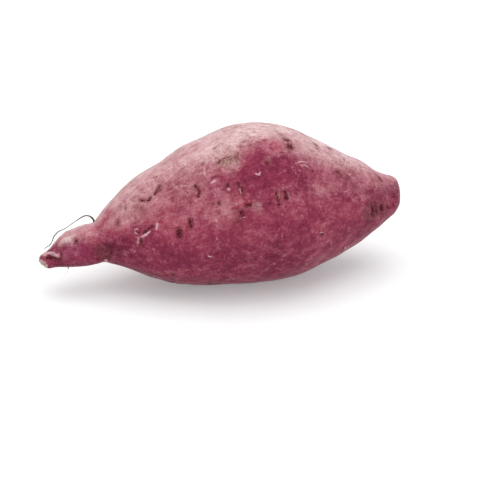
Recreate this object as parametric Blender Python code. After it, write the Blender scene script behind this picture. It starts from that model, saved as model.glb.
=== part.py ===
"""Sweet potato: one whole storage root, lying on its belly.

Metres, Z up. X runs along the root from the thin neck at -X to the blunt tail end at +X, and the front is
-Y. The origin is under the middle of the root, on the surface that it rests on.
"""

import math

import bmesh
import bpy
from mathutils import Vector

MM = 0.001

# Facets round the root, and rings along it
FACETS_ROUND = 52
RINGS_ALONG = 80

# Steps over which the slope of the skin is measured: in station places, and in degrees
PLACE_STEP = 0.01
TURN_STEP = 1

# The root in millimetres at stations from the tip of the neck to the tail end: distance along the root,
# shift to the back, height of the middle, half width and half height
STATIONS = (
    (-88.5, -1.0, 18.5, 0.0, 0.0),
    (-87.7, -1.0, 18.5, 2.6, 2.6),
    (-85.7, -1.0, 18.6, 3.8, 3.8),
    (-83.0, -1.0, 19.1, 5.0, 4.8),
    (-80.0, -0.8, 21.1, 6.6, 6.4),
    (-75.0, -0.5, 23.1, 8.6, 8.7),
    (-70.0, -0.3, 23.7, 9.7, 9.6),
    (-65.0, 0.0, 24.4, 10.4, 10.4),
    (-60.5, 0.0, 25.1, 10.8, 10.6),
    (-57.0, 0.2, 27.3, 12.4, 12.2),
    (-53.5, 0.5, 28.7, 14.8, 14.4),
    (-49.0, 1.0, 29.9, 17.7, 17.1),
    (-43.0, 1.5, 31.2, 21.7, 21.3),
    (-35.0, 2.0, 31.6, 26.9, 25.8),
    (-26.0, 2.0, 32.2, 31.4, 29.4),
    (-16.0, 1.5, 34.5, 35.3, 33.4),
    (-5.0, 1.0, 36.4, 38.1, 35.9),
    (6.0, 0.5, 38.5, 39.5, 38.4),
    (17.0, 0.0, 39.4, 39.8, 39.3),
    (28.0, 0.0, 39.1, 38.6, 38.6),
    (39.0, 0.2, 38.2, 35.8, 36.1),
    (49.0, 0.6, 37.0, 31.8, 31.7),
    (58.0, 1.0, 36.1, 27.6, 27.5),
    (66.0, 1.5, 35.3, 23.4, 23.2),
    (73.2, 2.0, 35.3, 19.5, 19.4),
    (79.4, 2.4, 34.8, 15.4, 14.8),
    (84.0, 2.7, 35.1, 12.4, 12.0),
    (88.6, 3.0, 35.8, 9.8, 9.4),
    (91.1, 3.2, 36.5, 6.4, 6.2),
    (91.8, 3.2, 36.6, 0.0, 0.0),
)

# Flat spot that the root rests on: how deep the belly is pressed in, in millimetres
REST_DEPTH = 1.2

# The break at the tip of the neck: the way that it faces, and how much of the tip it took, in millimetres
BREAK_FACING = Vector((-0.80, -0.36, -0.48)).normalized()
BREAK_DEPTH = 1.2

# The shoulder along the front of the top: its turn in degrees at distances along the root, its height, and
# half its width in degrees
SHOULDER_LINE = ((-60, 8), (-45, 11), (-20, 17), (-9, 25), (2, 18), (20, 20), (34, 22), (60, 16), (90, 19))
SHOULDER_HEIGHT = 1.2
SHOULDER_HALF_TURN = 13

# The flatter band on each side of the shoulder: how far off its middle is and half its width in degrees, and
# how deep it is below and above, as parts of the shoulder's height
BAND_OFF = 34
BAND_HALF_TURN = 17
BAND_BELOW = 0.55
BAND_ABOVE = 0.2

# Distances along the root between which the shoulder rises out of the neck, and fades into the tail
SHOULDER_RISE = (-58, -36)
SHOULDER_FADE = (64, 88)

# Broad swellings and hollows that make the root uneven, in millimetres and degrees: distance along, turn,
# half length, half turn, height. A turn of 0 is straight up, 90 the front, 180 the underside, -90 the back.
SWELLINGS = (
    (-38.0, -95.0, 22.0, 30.0, -1.0),
    (-8.0, -128.0, 24.0, 26.0, 1.0),
    (22.0, -75.0, 26.0, 24.0, -1.1),
    (48.0, -130.0, 18.0, 28.0, 0.9),
    (62.0, -85.0, 14.0, 30.0, -0.8),
    (-30.0, 118.0, 16.0, 24.0, 0.8),
    (10.0, 118.0, 20.0, 20.0, -0.7),
    (36.0, 100.0, 16.0, 24.0, 0.9),
    (54.0, 62.0, 10.0, 20.0, -0.8),
    (66.0, 118.0, 12.0, 26.0, -0.7),
    (-68.0, -120.0, 9.0, 40.0, -0.6),
    (-74.0, 45.0, 4.5, 22.0, -0.4),
)

# Shallow furrows along the root: distance along and turn where each starts, the same where it ends, depth,
# and half width in degrees
FURROWS = (
    (2.0, 25.0, 36.0, 27.0, 0.6, 4.5),
    (-46.0, 52.0, -14.0, 62.0, 0.4, 6.0),
    (-4.0, 84.0, 44.0, 78.0, 0.5, 6.0),
    (-44.0, -30.0, 20.0, -40.0, 0.6, 6.0),
    (-12.0, -92.0, 58.0, -104.0, 0.8, 7.0),
    (30.0, -54.0, 80.0, -48.0, 0.5, 8.0),
    (-52.0, -140.0, -6.0, -158.0, 0.6, 8.0),
    (34.0, 150.0, 78.0, 140.0, 0.6, 9.0),
)

# Eyes, the sunken scars that side roots left, large enough to be a dent: distance along, turn, half length
# in millimetres, half turn in degrees, depth
EYES = (
    (32.0, 11.0, 4.0, 8.0, 0.9),
    (-3.0, 7.0, 3.6, 7.0, 0.5),
    (-32.0, 24.0, 3.6, 8.0, 0.6),
    (-39.5, 32.0, 4.0, 9.0, 0.7),
    (-15.0, 43.0, 3.6, 7.0, 0.7),
    (4.5, 52.0, 3.8, 8.0, 0.8),
    (-7.5, 58.0, 4.0, 8.0, 0.5),
    (24.5, 61.0, 4.0, 7.0, 0.8),
    (-43.0, 77.0, 3.4, 10.0, 0.6),
    (-22.0, 72.0, 4.0, 7.0, 0.8),
    (47.5, 4.0, 3.8, 9.0, 0.6),
    (57.5, 33.0, 3.6, 10.0, 0.6),
    (-28.0, -58.0, 4.0, 8.0, 0.8),
    (8.0, -70.0, 4.0, 7.0, 0.9),
    (36.0, -48.0, 4.0, 8.0, 0.7),
    (-12.0, -112.0, 3.8, 8.0, 0.8),
    (27.0, -126.0, 4.0, 7.0, 0.9),
    (56.0, -96.0, 3.8, 10.0, 0.7),
    (-34.0, 150.0, 4.0, 9.0, 0.7),
    (47.0, 128.0, 4.0, 9.0, 0.8),
)

# Folds across the root, each a line that is short along the root and long round it: distance along, turn,
# half length in millimetres, half turn in degrees, depth. The first is the crease between neck and body.
FOLDS = (
    (-56.3, 116.0, 1.3, 30.0, 1.1),
    (-58.6, 88.0, 1.5, 22.0, 0.5),
    (73.6, 76.0, 1.6, 17.0, 1.0),
    (78.6, 84.0, 1.5, 15.0, 0.8),
    (84.6, 68.0, 1.3, 22.0, 0.7),
    (77.0, -84.0, 1.7, 24.0, 0.8),
    (83.0, -160.0, 1.6, 30.0, 0.6),
    (-62.0, -70.0, 1.6, 34.0, 0.5),
)

# The hollow and the raised lip of skin beside the break at the tip of the neck, as folds
TIP_FOLDS = (
    (-83.4, 56.0, 1.7, 26.0, 1.2),
    (-85.2, 14.0, 1.1, 22.0, -0.5),
    (-79.9, 62.0, 1.2, 20.0, -0.4),
)

# Thin side roots still on it, in millimetres: points of the middle line, then radius at the start and end
NECK_ROOTLET = (
    (-59.6, 3.4, 31.6),
    (-60.2, 3.8, 35.0),
    (-61.0, 4.0, 36.6),
    (-62.5, 4.0, 37.8),
    (-64.0, 4.0, 38.1),
    (-65.8, 4.0, 37.6),
    (-70.0, 4.0, 35.1),
    (-74.0, 4.0, 32.4),
    (-77.0, 4.0, 31.3),
    (-78.8, 4.0, 29.8),
    (-80.0, 4.0, 28.3),
    (-80.7, 4.0, 26.2),
    (-81.8, 4.0, 24.4),
    (-83.4, 3.8, 23.5),
    (-85.0, 3.6, 22.7),
)
NECK_ROOTLET_RADII = (0.55, 0.30)
SHORT_ROOTLET = (
    (-74.0, -3.0, 19.0),
    (-74.4, -4.4, 16.0),
    (-74.8, -5.0, 14.6),
    (-75.6, -5.3, 13.8),
)
SHORT_ROOTLET_RADII = (0.55, 0.35)

# Points on each span of a rootlet's line, roundness of its section, and the distance in metres under which
# two of its corners are one
POINTS_A_SPAN = 2
ROOTLET_ROUNDNESS = 2
SAME_CORNER = 1e-6

# Colour in linear light, roughness and metallic value of the skin
SKIN_COLOUR = (0.37, 0.11, 0.15, 1.0)
SKIN_ROUGHNESS = 0.55
SKIN_METALLIC = 0.0


def mirrored(row):
    """A station as it would go on past the end, where the two half sizes turn negative."""
    return (*row[:3], -row[3], -row[4])


def carried_on(row, inner):
    """A point of a line as it would go on straight past the end."""
    return tuple(2 * a - b for a, b in zip(row, inner))


def curve_between(before, first, second, after, part):
    """The smooth curve from the first row to the second, at this part of the way."""
    values = []
    for a, b, c, d in zip(before, first, second, after):
        bend = (2 * a - 5 * b + 4 * c - d) * part**2 + (3 * (b - c) + d - a) * part**3
        values.append(b + 0.5 * ((c - a) * part + bend))
    return values


def station_at(place):
    """The smooth values at a place, which is 0 at the first station and 1 more at each next one."""
    last = len(STATIONS) - 1
    low = min(int(place), last - 1)
    before = STATIONS[low - 1] if low > 0 else mirrored(STATIONS[1])
    after = STATIONS[low + 2] if low + 2 <= last else mirrored(STATIONS[last - 1])
    return curve_between(before, STATIONS[low], STATIONS[low + 1], after, place - low)


def near(offset, spread):
    """1 at no offset, falling smoothly to nothing at about twice the spread."""
    return math.exp(-((offset / spread) ** 2))


def ramp(value, start, end):
    """0 before the start, 1 past the end, and smooth between them."""
    part = max(0.0, min(1.0, (value - start) / (end - start)))
    return part * part * (3 - 2 * part)


def turn_between(a, b):
    """The angle from b to a in degrees, between -180 and 180."""
    return (a - b + 180) % 360 - 180


def shoulder(along, turn):
    """The shoulder with a flatter band on each side, fading towards both ends."""
    line = SHOULDER_LINE[0][1]
    for (start, first), (end, second) in zip(SHOULDER_LINE, SHOULDER_LINE[1:]):
        line += (second - first) * ramp(along, start, end)
    off = turn_between(turn, line)
    strength = SHOULDER_HEIGHT * ramp(along, *SHOULDER_RISE) * (1 - ramp(along, *SHOULDER_FADE))
    below = BAND_BELOW * near(off - BAND_OFF, BAND_HALF_TURN)
    above = BAND_ABOVE * near(off + BAND_OFF, BAND_HALF_TURN)
    return strength * (near(off, SHOULDER_HALF_TURN) - below - above)


def furrow(along, turn, start, first, end, second, depth, half_turn):
    """How deep one furrow along the root is here."""
    part = (along - start) / (end - start)
    if not 0 < part < 1:
        return 0.0
    off = turn_between(turn, first + (second - first) * part)
    return depth * math.sin(math.pi * part) * near(off, half_turn)


def relief(along, turn):
    """Height of the skin over the plain root, in millimetres."""
    height = shoulder(along, turn)
    for middle, at, half_length, half_turn, rise in SWELLINGS:
        height += rise * near(along - middle, half_length) * near(turn_between(turn, at), half_turn)
    for line in FURROWS:
        height -= furrow(along, turn, *line)
    for middle, at, half_length, half_turn, depth in EYES + FOLDS + TIP_FOLDS:
        height -= depth * near(along - middle, half_length) * near(turn_between(turn, at), half_turn)
    return height


def plain_point(place, turn):
    """The root without its relief, at a station place and a turn."""
    along, shift, middle, half_width, half_height = station_at(place)
    angle = math.radians(turn)
    return Vector((along, shift - half_width * math.sin(angle), middle + half_height * math.cos(angle)))


def skin_point(place, turn):
    """The skin in millimetres at a station place and a turn."""
    point = plain_point(place, turn)
    last = len(STATIONS) - 1
    if 2 * PLACE_STEP < place < last - 2 * PLACE_STEP:
        lengthwise = plain_point(place + PLACE_STEP, turn) - plain_point(place - PLACE_STEP, turn)
        crosswise = plain_point(place, turn + TURN_STEP) - plain_point(place, turn - TURN_STEP)
        end_fade = ramp(place, 0, 1) * ramp(last - place, 0, 1)
        point += crosswise.cross(lengthwise).normalized() * relief(point.x, turn) * end_fade
    return point


def flatten(points, facing, depth):
    """Presses the points that reach furthest this way back onto one flat face, this deep."""
    level = max(point.dot(facing) for point in points) - depth
    for point in points:
        point -= facing * max(0.0, point.dot(facing) - level)


def make_root():
    """The root's mesh in millimetres: a sphere whose poles become the neck's tip and the tail end."""
    grid = bmesh.new()
    bmesh.ops.create_uvsphere(grid, u_segments=FACETS_ROUND, v_segments=RINGS_ALONG, radius=1)
    points = []
    for vertex in grid.verts:
        x, y, z = vertex.co
        place = math.acos(max(-1.0, min(1.0, z))) / math.pi * (len(STATIONS) - 1)
        points.append(skin_point(place, math.degrees(math.atan2(y, x))))
    flatten(points, BREAK_FACING, BREAK_DEPTH)
    flatten(points, Vector((0, 0, -1)), REST_DEPTH)
    for vertex, point in zip(grid.verts, points):
        vertex.co = point
    bmesh.ops.recalc_face_normals(grid, faces=grid.faces)
    mesh = bpy.data.meshes.new("storage_root")
    grid.to_mesh(mesh)
    grid.free()
    mesh.shade_smooth()
    return mesh


def middle_under(mesh):
    """The point under the middle of the mesh, at its lowest height."""
    corners = [[vertex.co[axis] for vertex in mesh.vertices] for axis in range(3)]
    return Vector(
        (
            (min(corners[0]) + max(corners[0])) / 2,
            (min(corners[1]) + max(corners[1])) / 2,
            min(corners[2]),
        )
    )


def smooth_line(points):
    """A longer row of points, on the smooth line through these."""
    line = []
    for low in range(len(points) - 1):
        first, second = points[low], points[low + 1]
        before = points[low - 1] if low > 0 else carried_on(first, second)
        after = points[low + 2] if low + 2 < len(points) else carried_on(second, first)
        for step in range(POINTS_A_SPAN):
            line.append(curve_between(before, first, second, after, step / POINTS_A_SPAN))
    line.append(points[-1])
    return line


def rootlet_curve(name, points, radii, origin):
    """A thin side root as a curve that tapers from the first radius to the second."""
    curve = bpy.data.curves.new(name, "CURVE")
    curve.dimensions = "3D"
    curve.bevel_depth = MM
    curve.bevel_resolution = ROOTLET_ROUNDNESS
    curve.use_fill_caps = True
    line = smooth_line(points)
    spline = curve.splines.new("POLY")
    spline.points.add(len(line) - 1)
    for count, (point, spot) in enumerate(zip(spline.points, line)):
        point.co = (*((Vector(spot) - origin) * MM), 1)
        point.radius = radii[0] + (radii[1] - radii[0]) * count / (len(line) - 1)
    return curve


def add_rootlet(name, points, radii, origin, collection):
    """A thin side root as a closed mesh, its start in the root."""
    guide = bpy.data.objects.new(name + "_line", rootlet_curve(name, points, radii, origin))
    collection.objects.link(guide)
    graph = bpy.context.evaluated_depsgraph_get()
    mesh = bpy.data.meshes.new_from_object(guide.evaluated_get(graph))
    bpy.data.objects.remove(guide, do_unlink=True)
    grid = bmesh.new()
    grid.from_mesh(mesh)
    bmesh.ops.remove_doubles(grid, verts=grid.verts, dist=SAME_CORNER)
    bmesh.ops.recalc_face_normals(grid, faces=grid.faces)
    grid.to_mesh(mesh)
    grid.free()
    collection.objects.link(bpy.data.objects.new(name, mesh))


def make_skin():
    """The material of the skin."""
    skin = bpy.data.materials.new("sweet potato skin")
    skin.use_nodes = True
    shader = skin.node_tree.nodes["Principled BSDF"]
    shader.inputs["Base Color"].default_value = SKIN_COLOUR
    shader.inputs["Roughness"].default_value = SKIN_ROUGHNESS
    shader.inputs["Metallic"].default_value = SKIN_METALLIC
    return skin


for old in list(bpy.data.objects):
    bpy.data.objects.remove(old, do_unlink=True)

parts = bpy.data.collections.new("Sweet potato")
joined = bpy.data.collections.new("Sweet potato rootlets")
bpy.context.scene.collection.children.link(parts)
bpy.context.scene.collection.children.link(joined)

# The root, moved so that the origin is under its middle
root_mesh = make_root()
origin = middle_under(root_mesh)
for vertex in root_mesh.vertices:
    vertex.co = (vertex.co - origin) * MM
root_mesh.materials.append(make_skin())
root = bpy.data.objects.new("storage_root", root_mesh)
parts.objects.link(root)

# The rootlets grew out of the root, so they are one solid with it
add_rootlet("neck_rootlet", NECK_ROOTLET, NECK_ROOTLET_RADII, origin, joined)
add_rootlet("short_rootlet", SHORT_ROOTLET, SHORT_ROOTLET_RADII, origin, joined)
union = root.modifiers.new("rootlets", "BOOLEAN")
union.operation = "UNION"
union.operand_type = "COLLECTION"
union.collection = joined
union.solver = "EXACT"
graph = bpy.context.evaluated_depsgraph_get()
root.data = bpy.data.meshes.new_from_object(root.evaluated_get(graph))
root.modifiers.clear()
for rootlet in list(joined.objects):
    bpy.data.objects.remove(rootlet, do_unlink=True)
bpy.data.collections.remove(joined)
root.data.shade_smooth()
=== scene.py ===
import math
import random

import bpy
import numpy as np
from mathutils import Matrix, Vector, noise


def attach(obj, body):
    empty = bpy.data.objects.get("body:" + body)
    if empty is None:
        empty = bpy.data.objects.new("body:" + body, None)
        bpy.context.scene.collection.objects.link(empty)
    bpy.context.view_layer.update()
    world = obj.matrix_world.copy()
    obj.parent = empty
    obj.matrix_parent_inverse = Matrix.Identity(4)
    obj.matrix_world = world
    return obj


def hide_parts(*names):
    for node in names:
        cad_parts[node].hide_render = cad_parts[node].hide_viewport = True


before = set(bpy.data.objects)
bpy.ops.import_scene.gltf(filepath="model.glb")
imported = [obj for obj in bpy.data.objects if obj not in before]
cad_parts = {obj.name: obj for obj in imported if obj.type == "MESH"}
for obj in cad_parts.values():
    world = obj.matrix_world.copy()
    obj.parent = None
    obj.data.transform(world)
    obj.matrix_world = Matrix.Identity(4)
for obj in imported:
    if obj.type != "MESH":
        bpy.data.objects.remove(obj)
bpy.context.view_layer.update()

# The storage root. It swelled up in one piece in the ground: a fat body that thins to the neck, where it
# broke off its vine, and a blunt tail. It lies on its belly. Sizes here are millimetres, and turns are
# degrees round it: 0 is straight up, 90 the front, 180 the underside and -90 the back.
MM = 0.001
A_RADIAN = 57.3

# Stations from the tip of the neck to the tail end: distance along the root, shift to the back, height of the
# middle, half width and half height
STATIONS = np.array((
    (-88.5, -1, 18.5, 0, 0), (-87.7, -1, 18.5, 2.6, 2.6), (-85.7, -1, 18.6, 3.8, 3.8),
    (-83, -1, 19.1, 5, 4.8), (-80, -0.8, 21.1, 6.6, 6.4), (-75, -0.5, 23.1, 8.6, 8.7),
    (-70, -0.3, 23.7, 9.7, 9.6), (-65, 0, 24.4, 10.4, 10.4), (-60.5, 0, 25.1, 10.8, 10.6),
    (-57, 0.2, 27.3, 12.4, 12.2), (-53.5, 0.5, 28.7, 14.8, 14.4), (-49, 1, 29.9, 17.7, 17.1),
    (-43, 1.5, 31.2, 21.7, 21.3), (-35, 2, 31.6, 26.9, 25.8), (-26, 2, 32.2, 31.4, 29.4),
    (-16, 1.5, 34.5, 35.3, 33.4), (-5, 1, 36.4, 38.1, 35.9), (6, 0.5, 38.5, 39.5, 38.4),
    (17, 0, 39.4, 39.8, 39.3), (28, 0, 39.1, 38.6, 38.6), (39, 0.2, 38.2, 35.8, 36.1),
    (49, 0.6, 37, 31.8, 31.7), (58, 1, 36.1, 27.6, 27.5), (66, 1.5, 35.3, 23.4, 23.2),
    (73.2, 2, 35.3, 19.5, 19.4), (79.4, 2.4, 34.8, 15.4, 14.8), (84, 2.7, 35.1, 12.4, 12),
    (88.6, 3, 35.8, 9.8, 9.4), (91.1, 3.2, 36.5, 6.4, 6.2), (91.8, 3.2, 36.6, 0, 0),
))
LAST = len(STATIONS) - 1

# The point under the root's middle, which is the origin, and how far inside the solid the skin lies
UNDER_MIDDLE = np.array((1.71, -0.31, 1.24))
SKIN_INSET = 0.3

# The break at the tip of the neck: the way that it faces, and how much of the tip it took
BREAK_FACING = np.array((-0.80, -0.36, -0.48)) / math.hypot(0.80, 0.36, 0.48)
BREAK_DEPTH = 1.5

# Rings along the root, facets round it, how much finer the facets are in front, the turn where they are
# finest, and the steps in which lengths along the root are measured
RINGS = 350
FACETS = 284
FRONT_SHARE = 0.4
CLOSEST_TURN = 65
FINE_STEPS = 6000

# The shoulder along the front of the top: distance along and turn, then its height and half its width
SHOULDER_LINE = ((-60, 8), (-45, 11), (-20, 17), (-9, 25), (2, 18), (20, 20), (34, 22), (60, 16), (90, 19))
SHOULDER_HEIGHT = 1.2
SHOULDER_HALF_TURN = 13

# Broad swellings and hollows: distance along, turn, half length, half turn, height
SWELLINGS = (
    (-38, -95, 22, 30, -1), (-8, -128, 24, 26, 1), (22, -75, 26, 24, -1.1), (48, -130, 18, 28, 0.9),
    (62, -85, 14, 30, -0.8), (-30, 118, 16, 24, 0.8), (10, 118, 20, 20, -0.7), (36, 100, 16, 24, 0.9),
    (54, 62, 10, 20, -0.8), (66, 118, 12, 26, -0.7), (-68, -120, 9, 40, -0.6), (-74, 45, 4.5, 22, -0.4),
)

# Shallow furrows along the root: distance along and turn at the start and at the end, depth, half width
FURROWS = (
    (2, 25, 36, 27, 0.6, 4.5), (-46, 52, -14, 62, 0.4, 6), (-4, 84, 44, 78, 0.5, 6),
    (-44, -30, 20, -40, 0.6, 6), (-12, -92, 58, -104, 0.8, 7), (30, -54, 80, -48, 0.5, 8),
    (-52, -140, -6, -158, 0.6, 8), (34, 150, 78, 140, 0.6, 9),
)

# Dents of the larger eyes, the scars of side roots: distance along, turn, half length, half turn, depth
DENTS = (
    (32, 11, 4, 8, 0.9), (-3, 7, 3.6, 7, 0.5), (-32, 24, 3.6, 8, 0.6), (-39.5, 32, 4, 9, 0.7),
    (-15, 43, 3.6, 7, 0.7), (4.5, 52, 3.8, 8, 0.8), (-7.5, 58, 4, 8, 0.5), (24.5, 61, 4, 7, 0.8),
    (-43, 77, 3.4, 10, 0.6), (-22, 72, 4, 7, 0.8), (47.5, 4, 3.8, 9, 0.6), (57.5, 33, 3.6, 10, 0.6),
    (-28, -58, 4, 8, 0.8), (8, -70, 4, 7, 0.9), (36, -48, 4, 8, 0.7), (-12, -112, 3.8, 8, 0.8),
    (27, -126, 4, 7, 0.9), (56, -96, 3.8, 10, 0.7), (-34, 150, 4, 9, 0.7), (47, 128, 4, 9, 0.8),
)

# Folds across the root: distance along, turn, half length, half turn, depth. The first three are the crease
# between the neck and the body, and the last three the hollow and the raised lip at the tip of the neck.
FOLDS = (
    (-56.3, 116, 1.3, 30, 1.1), (-57, 122, 0.8, 9, 1.3), (-58.6, 88, 1.5, 22, 0.5), (73.6, 76, 1.6, 17, 1),
    (78.6, 84, 1.5, 15, 0.8), (84.6, 68, 1.3, 22, 0.7), (77, -84, 1.7, 24, 0.8), (83, -160, 1.6, 30, 0.6),
    (-62, -70, 1.6, 34, 0.5), (-83.4, 56, 1.7, 26, 1.2), (-85.2, 14, 1.1, 22, -0.5),
    (-79.9, 62, 1.2, 20, -0.4),
)

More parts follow.
